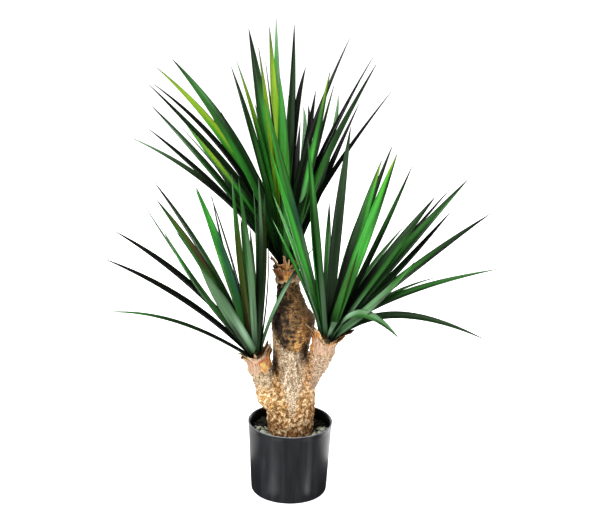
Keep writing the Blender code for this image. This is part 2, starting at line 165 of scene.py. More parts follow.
# A head of leaves grows from the cut end of a cane, out of a papery sheath.
# end: middle of the cut end; radius: the cane's there; lean: direction of its axis.
Head = namedtuple("Head", "name end radius lean")
TOP = Head("top", Vector((-13, 0, 467)), 22.5, Vector((-0.06, 0, 1)).normalized())
LEFT = Head("left", Vector((-65, -41, 295)), 25.0, Vector((-0.22, -0.08, 1)).normalized())
RIGHT = Head("right", Vector((63, -41, 334)), 25.5, Vector((0.20, -0.08, 1)).normalized())
GROWING_POINT = 16.0     # its height over the cut end
ROOT_LOW = -13.0         # height of a level leaf's root from the growing point,
ROOT_RISE = 18.0         # how much higher an upright leaf's root is,
ROOT_SPREAD = 12.0       # and how far a level leaf's root is from the head's axis

# The lengths of cane, with the heads they carry and the sides of their rings of points
LIMBS = ((CANE, TOP, CANE_SIDES), (LEFT_STUB, LEFT, STUB_SIDES), (RIGHT_STUB, RIGHT, STUB_SIDES))

# Sheaths. Each row is one torn strip of dry leaf base round a cut end: its bearing in degrees from
# +X towards +Y, the height of its foot over the cut end, its width at the foot, the height of its
# tip and the tip's distance from the axis, by how many degrees it leans aside on its way, how far
# its blunt end slants up at its far side, how much it tapers (1 is to a point, 0 is a blunt torn
# end), its tones from foot to tip, and the part of its length at which it starts to bend out.
Strip = namedtuple("Strip", "bearing foot width height reach lean_aside slant taper tones bend",
                   defaults=(0.45,))
SHEATH_TONES = {
    "o": "bd8850",   # tan-orange
    "g": "cc9a52",   # golden
    "y": "d0b87c",   # straw
    "p": "be977c",   # pinkish
    "k": "c0a694",   # pale pink
    "c": "ccb898",   # cream
    "r": "b0673c",   # reddish brown
    "b": "8a5a30",   # brown
    "d": "553016",   # dark brown
    "v": "9c9a62",   # olive, still half green
}
TOP_SHEATH = (
    Strip(262, -17, 40, 8, 25, 0, 0, 0.0, "cggoob"),
    Strip(224, -20, 24, 10, 29, 0, 3, 0.1, "cbdbbr", 0.0),
    Strip(196, -23, 20, 8, 31, 0, 0, 0.2, "cpkpp", 0.0),
    Strip(314, -18, 26, 12, 28, 0, 4, 0.1, "cpoop", 0.1),
    Strip(334, -24, 18, 4, 31, 0, 0, 0.2, "kkkpp", 0.0),
    Strip(352, -15, 24, 10, 29, 0, 0, 0.1, "kprrb"),
    Strip(20, -15, 30, 10, 29, 0, 0, 0.1, "cogbo"),
    Strip(62, -16, 30, 8, 28, 0, 0, 0.1, "pogbr"),
    Strip(105, -15, 30, 10, 28, 0, 0, 0.1, "cboog"),
    Strip(148, -16, 30, 8, 29, 0, 0, 0.1, "kobgo"),
    Strip(196, -4, 9, 33, 36, 0, 0, 0.3, "pkkcc", 0.05),
    Strip(208, -2, 12, 34, 33, 0, 0, 0.2, "ddbroc", 0.1),
    Strip(226, -8, 7, 32, 32, -6, 0, 0.4, "opccc", 0.25),
    Strip(245, -8, 15, 20, 26, 0, 2, 0.3, "brbbo"),
    Strip(263, -4, 8, 38, 29, -2, 0, 0.5, "oggpp"),
    Strip(279, -4, 8, 31, 29, 2, 0, 0.7, "gygcc"),
    Strip(298, -6, 14, 20, 29, 0, 0, 0.4, "oppo"),
    Strip(318, -4, 13, 34, 32, 4, 0, 0.4, "oorrr"),
    Strip(330, -4, 15, 31, 38, 2, 0, 0.4, "pkyyc"),
    Strip(12, -4, 14, 20, 34, 0, 0, 0.7, "rooc"),
    Strip(45, -4, 16, 28, 33, 6, 0, 0.7, "bogc"),
    Strip(85, -4, 14, 20, 34, -4, 0, 0.8, "rogc"),
    Strip(122, -4, 16, 30, 33, 5, 0, 0.7, "bopc"),
    Strip(160, -4, 14, 22, 35, -5, 0, 0.8, "boyc"),
)
LEFT_SHEATH = (
    Strip(246, -16, 28, 19, 30, 0, -3, 0.0, "kkppkkc"),
    Strip(208, -16, 26, 16, 33, 0, 3, 0.1, "ckkpkc"),
    Strip(298, -16, 26, 19, 30, 0, 5, 0.1, "cgpprkc"),
    Strip(335, -14, 26, 26, 32, 0, 6, 0.2, "bgooro"),
    Strip(175, -14, 30, 12, 32, 0, 0, 0.2, "ckpoo"),
    Strip(15, -14, 34, 16, 31, 0, 0, 0.2, "cogbo"),
    Strip(60, -14, 34, 12, 31, 0, 0, 0.2, "pogbr"),
    Strip(100, -14, 34, 12, 31, 0, 0, 0.2, "cboog"),
    Strip(140, -14, 34, 12, 32, 0, 0, 0.2, "cogbo"),
    Strip(245, 4, 6, 36, 44, -50, 0, 0.3, "kvvvc", 0.0),
    Strip(266, -4, 11, 26, 29, 0, 0, 0.8, "ppkc"),
    Strip(252, 6, 22, -26, 27, 6, 0, 0.9, "pkkc"),
    Strip(290, 4, 16, -24, 27, 4, 0, 0.9, "gygc"),
    Strip(322, -6, 22, 34, 34, 4, 0, 0.7, "goppkc"),
    Strip(332, -2, 14, 53, 47, 6, 0, 0.8, "roopc", 0.3),
    Strip(346, 0, 12, 46, 44, 4, 0, 0.8, "dddr", 0.3),
    Strip(40, -4, 18, 26, 35, 6, 0, 0.8, "bogc"),
    Strip(88, -4, 16, 20, 36, -4, 0, 0.8, "rogc"),
    Strip(140, -4, 18, 26, 37, 5, 0, 0.8, "bopc"),
    Strip(170, -2, 14, 20, 40, 0, 0, 0.8, "kvoc"),
)
RIGHT_SHEATH = (
    Strip(248, -16, 24, 25, 31, 0, -12, 0.0, "ckkkkkkkdycp"),
    Strip(222, -14, 24, 33, 35, 0, 2, 0.1, "gkkkkpogoc"),
    Strip(292, -16, 22, 18, 32, 0, 5, 0.0, "ckkkkkcoob"),
    Strip(326, -14, 24, 27, 38, 0, 6, 0.1, "ckkkkcogo"),
    Strip(355, -14, 26, 20, 34, 0, 0, 0.2, "ckcoo"),
    Strip(28, -14, 34, 14, 32, 0, 0, 0.2, "cogbo"),
    Strip(68, -14, 34, 12, 31, 0, 0, 0.2, "pogbr"),
    Strip(110, -14, 34, 12, 31, 0, 0, 0.2, "cboog"),
    Strip(150, -14, 34, 12, 31, 0, 0, 0.2, "cogoo"),
    Strip(186, -14, 28, 22, 33, 0, 0, 0.2, "gogoo"),
    Strip(204, 4, 20, 40, 50, 4, 0, 0.45, "ogdgoc", 0.3),
    Strip(214, 2, 8, 38, 49, -4, 0, 0.45, "ckcc", 0.3),
    Strip(238, 12, 24, -22, 28, 6, 0, 0.9, "pkkkc"),
    Strip(290, 8, 22, -20, 28, 0, 0, 0.9, "kkkc"),
    Strip(341, 4, 22, 41, 48, 0, 0, 0.25, "oobgob", 0.25),
    Strip(347, 12, 16, 44, 50, 0, 0, 0.3, "dddd", 0.25),
    Strip(48, -4, 18, 24, 38, 6, 0, 0.8, "bogc"),
    Strip(95, -4, 18, 26, 36, -4, 0, 0.8, "rogc"),
    Strip(140, -4, 18, 22, 36, 5, 0, 0.8, "bopc"),
)
STRIP_LENGTHS = 18       # faces along and across a strip
STRIP_ACROSS = 12
STRIP_THICK = 1.1
STRIP_TEAR = 3.0         # depth of the tears in a blunt end
STRIP_SEAT = 1.2         # how far a strip's foot stands off the cane
STRIP_BUCKLE = 0.5       # how far the sheet buckles across it,
STRIP_RIPPLE = 0.6       # and ripples along it
STRIP_POINT = 0.03       # part of the width that a strip with a full taper keeps at its tip
STRIP_FIBRE = 5 / 3      # width of a fibre, coarser than the real one, so that it shows
STRIP_EDGE = 0.8         # part of the half width at which the pale torn edge starts,
STRIP_END = 0.9          # and part of the length at which the pale end starts
STRIP_INSIDE = "6e4a24"

# Leaves. Each row is one leaf: where its tip is from the head's growing point (across to +X,
# away from the front to +Y, up), how high its middle arches over the straight line to the tip,
# how far its middle bows to +X, its greatest width, by how many degrees its upper face turns to
# the front, and the tones of its inner half, towards the head's axis, and of its outer half.
# Tones run evenly from root to tip. bend: the part of the length where the arch is centred.
# The rows named far are leaves at the back, all of the same greens.
# The tones paint in each blade's light and shade: near black where it lies in shade, bright or yellow
# where lit, pale grey-green where it shows a sheen.
Leaf = namedtuple("Leaf", "across away up arch bow width turn inner outer bend",
                  defaults=("dggd", "ddgd", 0.5))
TONES = {
    "k": "141a12",   # near black: a back in deep shade
    "d": "264222",   # dark green
    "m": "364c32",   # muted grey-green in shade
    "g": "3a7032",   # leaf green
    "b": "48a040",   # bright green
    "v": "48a22e",   # vivid green, lit through
    "y": "88ac2c",   # yellow-green, lit through
    "o": "4a5a22",   # olive
    "n": "4a3a26",   # brown, dried
    "t": "2e5e40",   # teal
    "s": "688e66",   # grey-green: painted sheen on the waxy skin
    "p": "98be9c",   # pale: painted sheen on the wax
    "w": "a2c6a0",   # lightest: painted highlight on the wax
}
TOP_LEAVES = (
    Leaf(-110, -50, 389, 10, -3, 24, 50, "dggdd", "dgddd"),
    Leaf(-103, -10, 395, 8, 3, 18, 40, "dgbbys", "dgbgys"),
    Leaf(-82, 20, 451, 4, 0, 27, 60, "ggbbdk", "ddggdk"),
    Leaf(-61, -40, 426, 4, 0, 22, 60, "gyyyo", "dgyyo"),
    Leaf(-48, -20, 396, 4, 0, 18, 30, "kkkk", "gyyo"),
    Leaf(-43, 10, 457, 2, 0, 20, 60, "gbyyo", "gyyyo"),
    Leaf(-31, 30, 471, 0, -3, 18, 60, "ddkdss", "gbvvbs"),
    Leaf(-22, -30, 376, 6, 0, 28, 0, "dtbbb", "gbvbb"),
    Leaf(3, 60, 456, 0, 0, 20, 40, "mdddk", "sgddk"),
    Leaf(27, 60, 374, 0, -12, 16, 10, "dkkk", "kkkk", bend=0.7),
    Leaf(48, 120, 320, 1, 0, 18, 10, "mkkk", "kkkk"),
    Leaf(33, 160, 281, 0, 12, 14, 0, "kkkk", "kkkk", bend=0.8),
    Leaf(23, 170, 277, 0, 12, 12, 0, "mkss", "kkss", bend=0.8),
    Leaf(19, 190, 242, 6, 0, 14, 0, "kkkk", "kkkk"),
    Leaf(110, 40, 437, 28, 0, 13, 40, "ddkk", "mkkk", bend=0.37),
    Leaf(72, -20, 381, 0, 1, 24, 50, "ssbgy", "sgddo"),
    Leaf(81, 0, 353, 2, 0, 15, 30, "sgdo", "mdkk"),
    Leaf(91, 90, 319, 0, 15, 12, 30, "mss", "kms", bend=0.7),
    Leaf(152, -20, 411, 24, 0, 15, 40, "mdkkk", "mdkkk", bend=0.25),
    Leaf(144, 54, 378, 22, 0, 12, 35, "mdkk", "kkkk", bend=0.25),
    Leaf(158, -40, 402, 18, 0, 23, 50, "sggdk", "msgdk", bend=0.26),
    Leaf(135, 100, 303, 3, 0, 14, 30, "mmkk", "mdkk", bend=0.3),
    Leaf(192, 20, 341, 20, 0, 12, 45, "mdkk", "mkkk", bend=0.24),
    Leaf(-260, 60, 366, 37, 0, 22, 30, "gbvyyo", "dgbvyy"),
    Leaf(-222, -20, 396, 28, 0, 28, 50, "kddddgd", "dgbbggd"),
    Leaf(-190, 80, 334, 16, 0, 22, 40, "kdooono", "kkddgo"),
    Leaf(-276, 60, 334, 28, 0, 24, 20, "dddddk", "gggdkk", bend=0.3),
    Leaf(-259, -10, 347, 36, 0, 15, 35, "dkkkk", "kkkkk"),
    Leaf(-257, -50, 313, 9, 0, 22, 30, "dtddmk", "dtggsk"),
    Leaf(-272, 30, 252, 14, 0, 24, 10, "ddkkk", "dggdk"),
    Leaf(-299, 0, 239, 29, 0, 18, 25, "dkkms", "dkkms"),
    Leaf(-201, -40, 270, 10, 0, 14, 10, "kdms", "kdms"),
    Leaf(-195, -20, 273, 6, 0, 22, 40, "dgbyg", "ddgbb"),
)
TOP_FAR = (
    Leaf(-72, 120, 290, 10, 0, 16, 0),
    Leaf(-38, 150, 300, 8, 0, 16, 0),
    Leaf(-6, 170, 300, 8, 0, 16, 0),
    Leaf(60, 170, 250, 8, 0, 15, 0),
    Leaf(95, 140, 270, 10, 0, 15, 0),
    Leaf(-140, 130, 270, 12, 0, 16, 0),
    Leaf(-160, 170, 190, 12, 0, 15, 0),
    Leaf(-60, 200, 210, 12, 0, 16, 0),
    Leaf(-10, 220, 190, 12, 0, 16, 0),
    Leaf(40, 200, 150, 12, 0, 15, 0),
    Leaf(-70, 210, 130, 12, 0, 15, 0),
)
LEFT_LEAVES = (
    Leaf(-197, -20, 344, 13, 0, 24, 20, "kdgdk", "ddddk"),
    Leaf(-190, -50, 319, 9, 0, 24, 45, "sggnod", "psgggd"),
    Leaf(-222, 6, 298, -8, 0, 12, 10, "kms", "kms"),
    Leaf(-179, -40, 258, -10, 0, 16, 40, "smgdgs", "mdggbs"),
    Leaf(-277, 0, 241, 22, 0, 20, 20, "dkkkk", "kkkkk"),
    Leaf(-299, 0, 185, 20, 0, 18, 20, "dkkkk", "kkkkk"),
    Leaf(-298, 0, 75, 26, 0, 18, 0, "kkdgo", "mddgg", bend=0.6),
    Leaf(-115, -60, 347, 3, 2, 29, 60, "dgttbg", "dggbbb"),
    Leaf(-119, -30, 337, 3, 2, 20, 40, "dggbb", "dggbb"),
    Leaf(-93, 0, 318, 2, 5, 12, 10, "dddkk", "ddogk"),
    Leaf(-51, -30, 367, 2, -6, 18, 70, "nooogg", "dnoobw"),
    Leaf(-12, -10, 345, 0, 7, 14, 20, "smsgs", "ssggs"),
    Leaf(-1, -30, 362, 0, 5, 18, 30, "kkkdms", "mmdmss"),
    Leaf(10, -20, 328, 0, 4, 18, 20, "kdmoos", "dmsoos"),
    Leaf(-36, -90, 374, 2, 4, 15, 0, "spsggb", "msssgb"),
    Leaf(17, 0, 253, 0, 7, 8, 10, "kkkk", "kkkk"),
    Leaf(109, 0, 222, 14, 0, 10, 40, "sssks", "sspkm"),
    Leaf(-107, -90, 206, 0, 0, 26, -45, "mmsss", "spssg"),
    Leaf(-92, 30, 308, 0, -6, 14, 0, "dgddk", "dgddk"),
)
LEFT_FAR = (
    Leaf(-149, 120, 219, 6, 0, 14, 0),
    Leaf(-166, 60, 228, 8, 0, 14, 10),
    Leaf(-101, 150, 205, 4, 0, 16, 0),
    Leaf(-90, 200, 176, 6, 0, 14, 0),
    Leaf(-76, 100, 178, 4, 0, 14, 0),
    Leaf(-42, 140, 238, 4, 0, 14, 0),
    Leaf(-20, 90, 230, 4, 0, 12, 0),
    Leaf(-107, 70, 123, 4, 0, 14, 0),
)
RIGHT_LEAVES = (
    Leaf(-127, -60, 476, 0, 0, 30, 60, "smstggb", "ssbbbbb"),
    Leaf(-117, -70, 388, 2, 0, 24, 60, "sgbbbb", "sgbbvb"),
    Leaf(-110, -90, 310, 4, 0, 22, 50, "sgsbbb", "ssbbvb"),
    Leaf(-108, -110, 264, 6, 0, 20, 50, "sssbbb", "ssgbbb"),
    Leaf(-47, -70, 410, 0, 0, 19, 0, "skkdgg", "ssggbg"),
    Leaf(-41, -50, 346, 0, -3, 16, -10, "gbbvv", "gbvvy"),
    Leaf(34, 20, 414, 0, -6, 20, 60, "kmmmmd", "dmmmmd"),
    Leaf(91, -40, 363, 4, 0, 29, 65, "kkkdgo", "dgogby"),
    Leaf(116, -80, 385, 4, 3, 32, 70, "dggbbvy", "kggbgdk"),
    Leaf(114, 20, 379, 6, 0, 18, 35, "gddk", "ggdk"),
    Leaf(151, 0, 344, -4, 0, 16, 35, "kddgk", "kkkdk"),
    Leaf(193, -50, 299, 3, 0, 26, 50, "kkkddk", "msggdk"),
    Leaf(226, 0, 303, 4, 0, 12, 35, "mgdkk", "mddkk"),
    Leaf(255, -20, 326, 4, 0, 26, 40, "kdmggdk", "mmgddgk"),
    Leaf(231, 4, 259, -5, 0, 16, 35, "kddkk", "kddkk"),
    Leaf(301, -30, 264, 8, 0, 23, 30, "kdgdk", "kkdkkk"),
    Leaf(155, -110, 190, -8, 0, 20, 60, "ssssgg", "mssmgg"),
    Leaf(326, -20, 152, 30, 0, 20, 25, "mddggg", "mdddgd", bend=0.3),
    Leaf(309, -20, 6, 54, 0, 20, 25, "kddmmd", "smmddk", bend=0.34),
    Leaf(134, -110, 38, 54, 0, 22, 30, "sspssgg", "mssggdd"),
    Leaf(16, -34, 44, 0, 0, 24, 20, "sspps", "sppss"),
)
RIGHT_FAR = (
    Leaf(-30, 60, 170, 6, 0, 15, 0),
    Leaf(0, 120, 240, 8, 0, 15, 0),
    Leaf(70, 90, 250, 10, 0, 16, 0),
    Leaf(95, 130, 230, 12, 0, 16, 0),
    Leaf(150, 120, 190, 12, 0, 16, 0),
    Leaf(190, 90, 190, 12, 0, 16, 0),
    Leaf(130, 150, 130, 14, 0, 15, 0),
    Leaf(220, 80, 100, 20, 0, 15, 0),
)
BLADE_STEPS = 30         # cross-sections from root to tip
BLADE_SHORT = 0.25       # steps between the last of them and the tip
BLADE_ACROSS = 8         # faces across a blade
BLADE_THICK = 1.7
BLADE_THINNING = 0.45    # part of that thickness that is gone at the tip
BLADE_MARGIN = 0.5       # thickness at the margins
BLADE_FOLD = 0.15        # depth of the channel as a part of the width
BLADE_ROOT_FOLD = 0.5    # how much deeper it is at the root, as a part of that
BLADE_CHANNEL = 1.35     # shape of the channel: 1 is a V, and more is rounder
BLADE_WIDEST = 0.45      # part of the length at which a blade is widest
BLADE_ROOT_WIDTH = 0.85  # width of the waist at the root as a part of the full width
BLADE_TAPER = 0.9        # shape of the point: 1 is a sine curve, and less is blunter
CUT_SHORT = 60.0         # a leaf shorter than this was cut off: it widens up to a blunt, slanted end
CUT_ROOT_WIDTH = 0.3
CUT_SLANT = 5.0          # how far the cut end slants over half its width
UNDERSIDE_SHADE = 0.62         # brightness of the lower face against the upper one: painted shade, as the lower faces lie in shade
BLADE_TWIST = 9.0        # most degrees that a blade twists along its length
BLADE_SWAY = 1.3         # most that its line wanders sideways
BLADE_WAVE = 5.0         # radians of that wander along its length
RIB_HALF = 0.2           # the two halves' tones blend over this part of the half width, either side
MARGIN_START = 0.8       # part of the half width at which the dark margin, a painted shade along the edge, starts
TIP_START = 0.97         # part of the length at which the dark brown tip starts
TIP_DARK = "2b2618"
VEIN_SPACING = 2.0       # the real 0.7 is too fine to show
VEIN_RANGE = 900.0       # each blade's veins start somewhere in this width of the pattern

# Camera and light, in metres and degrees
CAMERA_PLACE = Vector((0.0115, -2.5, 1.27))
CAMERA_PITCH = -17.5
CAMERA_ROLL = 1.5
CAMERA_LENS = 80.82      # in millimetres
FLOOR_SIZE = 60.0
FLOOR_GLOW = 0.60        # lifts the floor to white, as in a product photo
SKY_STRENGTH = 0.55

# Softboxes: name, place, the point it faces, its two sizes, and watts. The four cards lie on the
# floor beside the pot and face up. Its wall mirrors them: its upright sheens and its pale edges.
SOFTBOXES = (
    ("overhead", (-0.3, -0.3, 3.0), (0, 0, 0.4), (1.8, 1.8), 55),
    ("key", (-1.3, -2.1, 2.2), (0, 0, 0.5), (0.9, 0.9), 50),
    ("left_strip", (-1.9, -1.35, 0.9), (0, 0, 0.3), (0.35, 1.8), 16),
    ("right_strip", (1.65, -1.65, 0.9), (0, 0, 0.3), (0.3, 1.8), 18),
    ("left_card", (-0.168, -0.196, 0.004), (-0.1665, -0.1947, 0.5), (0.05, 0.32), 0.07),
    ("right_card", (0.202, -0.156, 0.004), (0.2002, -0.1551, 0.5), (0.022, 0.32), 0.06),
    ("left_back_card", (-0.35, 0.25, 0.004), (-0.349, 0.249, 0.5), (0.4, 0.5), 0.7),
    ("right_back_card", (0.35, 0.25, 0.004), (0.349, 0.249, 0.5), (0.4, 0.5), 1.4),
    ("left_rim", (-1.5, 2.0, 0.8), (0, 0, 0.3), (0.5, 1.6), 18),
    ("right_rim", (1.5, 2.0, 0.8), (0, 0, 0.3), (0.5, 1.6), 18),
)


# Helpers
def linear(hex_colour):
    """Linear RGBA of an sRGB hex colour."""
    channels = [int(hex_colour[i:i + 2], 16) / 255 for i in (0, 2, 4)]
    return tuple(c / 12.92 if c <= 0.04045 else ((c + 0.055) / 1.055) ** 2.4 for c in channels) + (1.0,)


def add_node(tree, kind, inputs=(), stops=(), **settings):
    """Add a shader node, set its properties, and give its inputs a value or another node's output.
    stops: (place, hex colour) pairs of a colour ramp."""
    node = tree.nodes.new(kind)
    for name, value in settings.items():
        setattr(node, name, value)
    for k, (place, colour) in enumerate(stops):
        bands = node.color_ramp.elements
        band = bands[k] if k < len(bands) else bands.new(place)
        band.position = place
        band.color = linear(colour)
    for name, value in dict(inputs).items():
        if isinstance(value, bpy.types.NodeSocket):
            tree.links.new(value, node.inputs[name])
        else:
            node.inputs[name].default_value = value
    return node


def new_material(name, **surface):
    """A material with its Principled shader's uniform values set. Returns material, tree and shader."""
    material = bpy.data.materials.new(name)
    material.use_nodes = True
    tree = material.node_tree
    shader = tree.nodes["Principled BSDF"]
    for socket, value in surface.items():
        shader.inputs[socket.replace("_", " ")].default_value = value
    return material, tree, shader


def per_metre(size_mm):
    """Texture scale whose features are about this many millimetres across."""
    return 1 / (size_mm * MM)


def smooth_step(t):
    """From 0 to 1, with an easy start and end, as t goes from 0 to 1."""
    t = min(1.0, max(0.0, t))
    return t * t * (3 - 2 * t)


def mix(a, b, share):
    """The colour a share of the way from a to b."""
    return tuple(x + (y - x) * share for x, y in zip(a, b))


def tones_around(palette, tones, t):
    """The two colours that a part of the length lies between in a row of tone letters, and how far."""
    place = min(0.9999, max(0.0, t)) * (len(tones) - 1)
    low = int(place)
    return linear(palette[tones[low]]), linear(palette[tones[low + 1]]), place - low


def make_piece(name, verts, faces, material, nodes=(), tints=None, places=None):
    """One object of a mesh in millimetres, with its colours and its flat map if it has them.
    nodes: the solids that it stands for."""
    mesh = bpy.data.meshes.new(name)
    mesh.from_pydata([Vector(v) * MM for v in verts], [], faces)
    mesh.materials.append(material)
    if tints is not None:
        layer = mesh.color_attributes.new("tint", "FLOAT_COLOR", "POINT")
        layer.data.foreach_set("color", np.array(tints, np.float32).ravel())
    if places is not None:
        flat_map = mesh.uv_layers.new(name="flat")
        corners = np.zeros(len(mesh.loops), np.int32)
        mesh.loops.foreach_get("vertex_index", corners)
        flat_map.data.foreach_set("uv", np.array(places, np.float32)[corners].ravel())
    mesh.validate()
    bm = bmesh.new()
    bm.from_mesh(mesh)
    bmesh.ops.recalc_face_normals(bm, faces=bm.faces)
    bm.to_mesh(mesh)
    bm.free()
    mesh.shade_smooth()
    obj = bpy.data.objects.new(name, mesh)
    bpy.context.scene.collection.objects.link(obj)
    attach(obj, "root")
    if nodes:
        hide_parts(*nodes)


def tube_faces(rings, sides, first=0):
    """Faces between rings of points that are numbered ring after ring."""
    faces = []
    for low in range(rings - 1):
        high = low + 1
        for i in range(sides):
            j = (i + 1) % sides
            faces.append([first + low * sides + i, first + low * sides + j,
                          first + high * sides + j, first + high * sides + i])
    return faces


def closed_tube(rings, sides, first=0):
    """Faces of such a tube, with one flat face that closes each end."""
    last = first + (rings - 1) * sides
    ends = [list(range(first, first + sides))[::-1], list(range(last, last + sides))]
    return tube_faces(rings, sides, first) + ends


def circle(centre, radius, sides, across=Vector((1, 0, 0)), over=Vector((0, 1, 0))):
    """A ring of points round a centre, in the plane of two directions."""
    turns = (2 * math.pi * k / sides for k in range(sides))
    return [centre + radius * (math.cos(a) * across + math.sin(a) * over) for a in turns]


# Materials
def paint(tree, shader, pattern, stops):
    """Colour a surface with its mesh's own tints, shaded by a pattern through a ramp of colours."""
    shade = add_node(tree, "ShaderNodeValToRGB", {"Fac": pattern}, stops).outputs["Color"]
    tint = add_node(tree, "ShaderNodeAttribute", attribute_name="tint").outputs["Color"]
    colour = add_node(tree, "ShaderNodeMix", {"Factor": 1.0, "A": tint, "B": shade},
                      data_type="RGBA", blend_type="MULTIPLY")
    tree.links.new(colour.outputs["Result"], shader.inputs["Base Color"])


def polypropylene():
    """Injection-moulded polypropylene, coloured black in the mass: semi-matt, so lights spread into
    broad soft bands. Faint upright smears are where it has been wiped and rubbed; their lighter
    streaks are also a painted sheen."""
    material, tree, shader = new_material("polypropylene_black", Roughness=0.36, IOR=1.49)
    where = add_node(tree, "ShaderNodeTexCoord").outputs["Object"]
    upright = add_node(tree, "ShaderNodeMapping", {"Vector": where, "Scale": (1, 1, 0.08)}).outputs[0]
    smears = add_node(tree, "ShaderNodeTexNoise", {"Vector": upright, "Scale": per_metre(9), "Detail": 4})
    stipple = add_node(tree, "ShaderNodeTexNoise", {"Vector": where, "Scale": per_metre(1.6), "Detail": 2})
    # lighter upright streaks: wiping marks and painted sheen
    paint(tree, shader, smears.outputs["Fac"], [(0.35, "b0b0b2"), (0.62, "d4d4d6"), (0.8, "ffffff")])
    rough = add_node(tree, "ShaderNodeMapRange", {"Value": smears.outputs["Fac"], "From Min": 0.3,
                                                  "From Max": 0.7, "To Min": 0.31, "To Max": 0.44})
    tree.links.new(rough.outputs["Result"], shader.inputs["Roughness"])
    bump = add_node(tree, "ShaderNodeBump", {"Height": stipple.outputs["Fac"], "Strength": 0.12,
                                             "Distance": 0.1 * MM})
    tree.links.new(bump.outputs["Normal"], shader.inputs["Normal"])
    return material


def peat():
    """Dark peat compost: crumbs of a few millimetres, quite dull."""
    material, tree, shader = new_material("peat_compost", Roughness=0.95)
    where = add_node(tree, "ShaderNodeTexCoord").outputs["Object"]
    crumbs = add_node(tree, "ShaderNodeTexNoise", {"Vector": where, "Scale": per_metre(3), "Detail": 5,
                                                   "Roughness": 0.7})
    colour = add_node(tree, "ShaderNodeValToRGB", {"Fac": crumbs.outputs["Fac"]},
                      [(0.35, "0f0c08"), (0.55, "2b2218"), (0.75, "5a4c38")])
    tree.links.new(colour.outputs["Color"], shader.inputs["Base Color"])
    bump = add_node(tree, "ShaderNodeBump", {"Height": crumbs.outputs["Fac"], "Strength": 0.9,
                                             "Distance": 1.5 * MM})
    tree.links.new(bump.outputs["Normal"], shader.inputs["Normal"])
    return material


def moss():
    """Dry grey-green moss and grit: soft crumbs with pale tops, each lump with its own tint; the dark
    tints are mostly painted shade.
    """
    material, tree, shader = new_material("dry_moss", Roughness=0.9)
    where = add_node(tree, "ShaderNodeTexCoord").outputs["Object"]
    crumbs = add_node(tree, "ShaderNodeTexNoise", {"Vector": where, "Scale": per_metre(1.5), "Detail": 3})
    paint(tree, shader, crumbs.outputs["Fac"], [(0.3, "7f7f7f"), (0.7, "ffffff")])
    return material


def bark():
    """Corky bark of a yucca cane: dull short fibres and flakes, pale where they stand out and brown
    in the gaps, partly their own colours and partly painted highlight and painted shade. Its zones
    and flakes come with the mesh; this adds the fine fibres between them."""
    material, tree, shader = new_material("cane_bark", Roughness=0.88)
    where = add_node(tree, "ShaderNodeTexCoord").outputs["Object"]
    fibres = add_node(tree, "ShaderNodeTexNoise", {"Vector": where, "Scale": per_metre(2.4), "Detail": 3,
                                                   "Roughness": 0.6})
    paint(tree, shader, fibres.outputs["Fac"], [(0.34, "6f5d48"), (0.5, "d0c6b8"), (0.62, "ffffff")])
    bump = add_node(tree, "ShaderNodeBump", {"Height": fibres.outputs["Fac"], "Strength": 0.9,
                                             "Distance": 1.4 * MM})
    tree.links.new(bump.outputs["Normal"], shader.inputs["Normal"])
    return material


def dry_leaf_base():
    """Dried leaf bases: thin stiff paper with fine lengthwise fibres, tan to pink, cream at the torn
    edges."""
    material, tree, shader = new_material("dry_leaf_base", Roughness=0.7)
    flat = add_node(tree, "ShaderNodeUVMap", uv_map="flat").outputs["UV"]
    lengthwise = add_node(tree, "ShaderNodeMapping", {"Vector": flat, "Scale": (1, 0.12, 1)}).outputs[0]
    fibres = add_node(tree, "ShaderNodeTexNoise", {"Vector": lengthwise, "Scale": 1 / STRIP_FIBRE,
                                                   "Detail": 3})
    paint(tree, shader, fibres.outputs["Fac"], [(0.3, "9a7f66"), (0.55, "e8e0d4"), (0.75, "ffffff")])
    bump = add_node(tree, "ShaderNodeBump", {"Height": fibres.outputs["Fac"], "Strength": 0.5,
                                             "Distance": 0.5 * MM})
    tree.links.new(bump.outputs["Normal"], shader.inputs["Normal"])
    return material


def yucca_leaf():
    """A yucca leaf's waxy skin: a soft satin sheen over parallel veins. The veins are drawn 2 mm
    apart, coarser than the real 0.7 mm, so that they show."""
    material, tree, shader = new_material("yucca_leaf", Roughness=0.40, IOR=1.36)
    flat = add_node(tree, "ShaderNodeUVMap", uv_map="flat").outputs["UV"]
    lengthwise = add_node(tree, "ShaderNodeMapping", {"Vector": flat, "Scale": (1, 0.015, 1)}).outputs[0]
    veins = add_node(tree, "ShaderNodeTexNoise", {"Vector": lengthwise, "Scale": 1 / VEIN_SPACING,
                                                  "Detail": 2})
    paint(tree, shader, veins.outputs["Fac"], [(0.3, "b8b8b8"), (0.7, "ffffff")])
    wax = add_node(tree, "ShaderNodeMapRange", {"Value": veins.outputs["Fac"], "From Min": 0.3,
                                                "From Max": 0.7, "To Min": 0.46, "To Max": 0.34})
    tree.links.new(wax.outputs["Result"], shader.inputs["Roughness"])
    bump = add_node(tree, "ShaderNodeBump", {"Height": veins.outputs["Fac"], "Strength": 0.25,
                                             "Distance": 0.3 * MM})
    tree.links.new(bump.outputs["Normal"], shader.inputs["Normal"])
    return material


# Pot
def pot_radius(z):
    """Radius of the wall's outside at a height."""
    return POT_BOTTOM_RADIUS + (POT_TOP_RADIUS - RIM_BEAD - POT_BOTTOM_RADIUS) * z / POT_HEIGHT


def rounded(centre, radius, start, end, steps):
    """Points of an arc from one angle to another, in degrees, in a profile of (radius, height)."""
    turns = (math.radians(start + (end - start) * k / steps) for k in range(steps + 1))
    return [(centre[0] + radius * math.cos(a), centre[1] + radius * math.sin(a)) for a in turns]


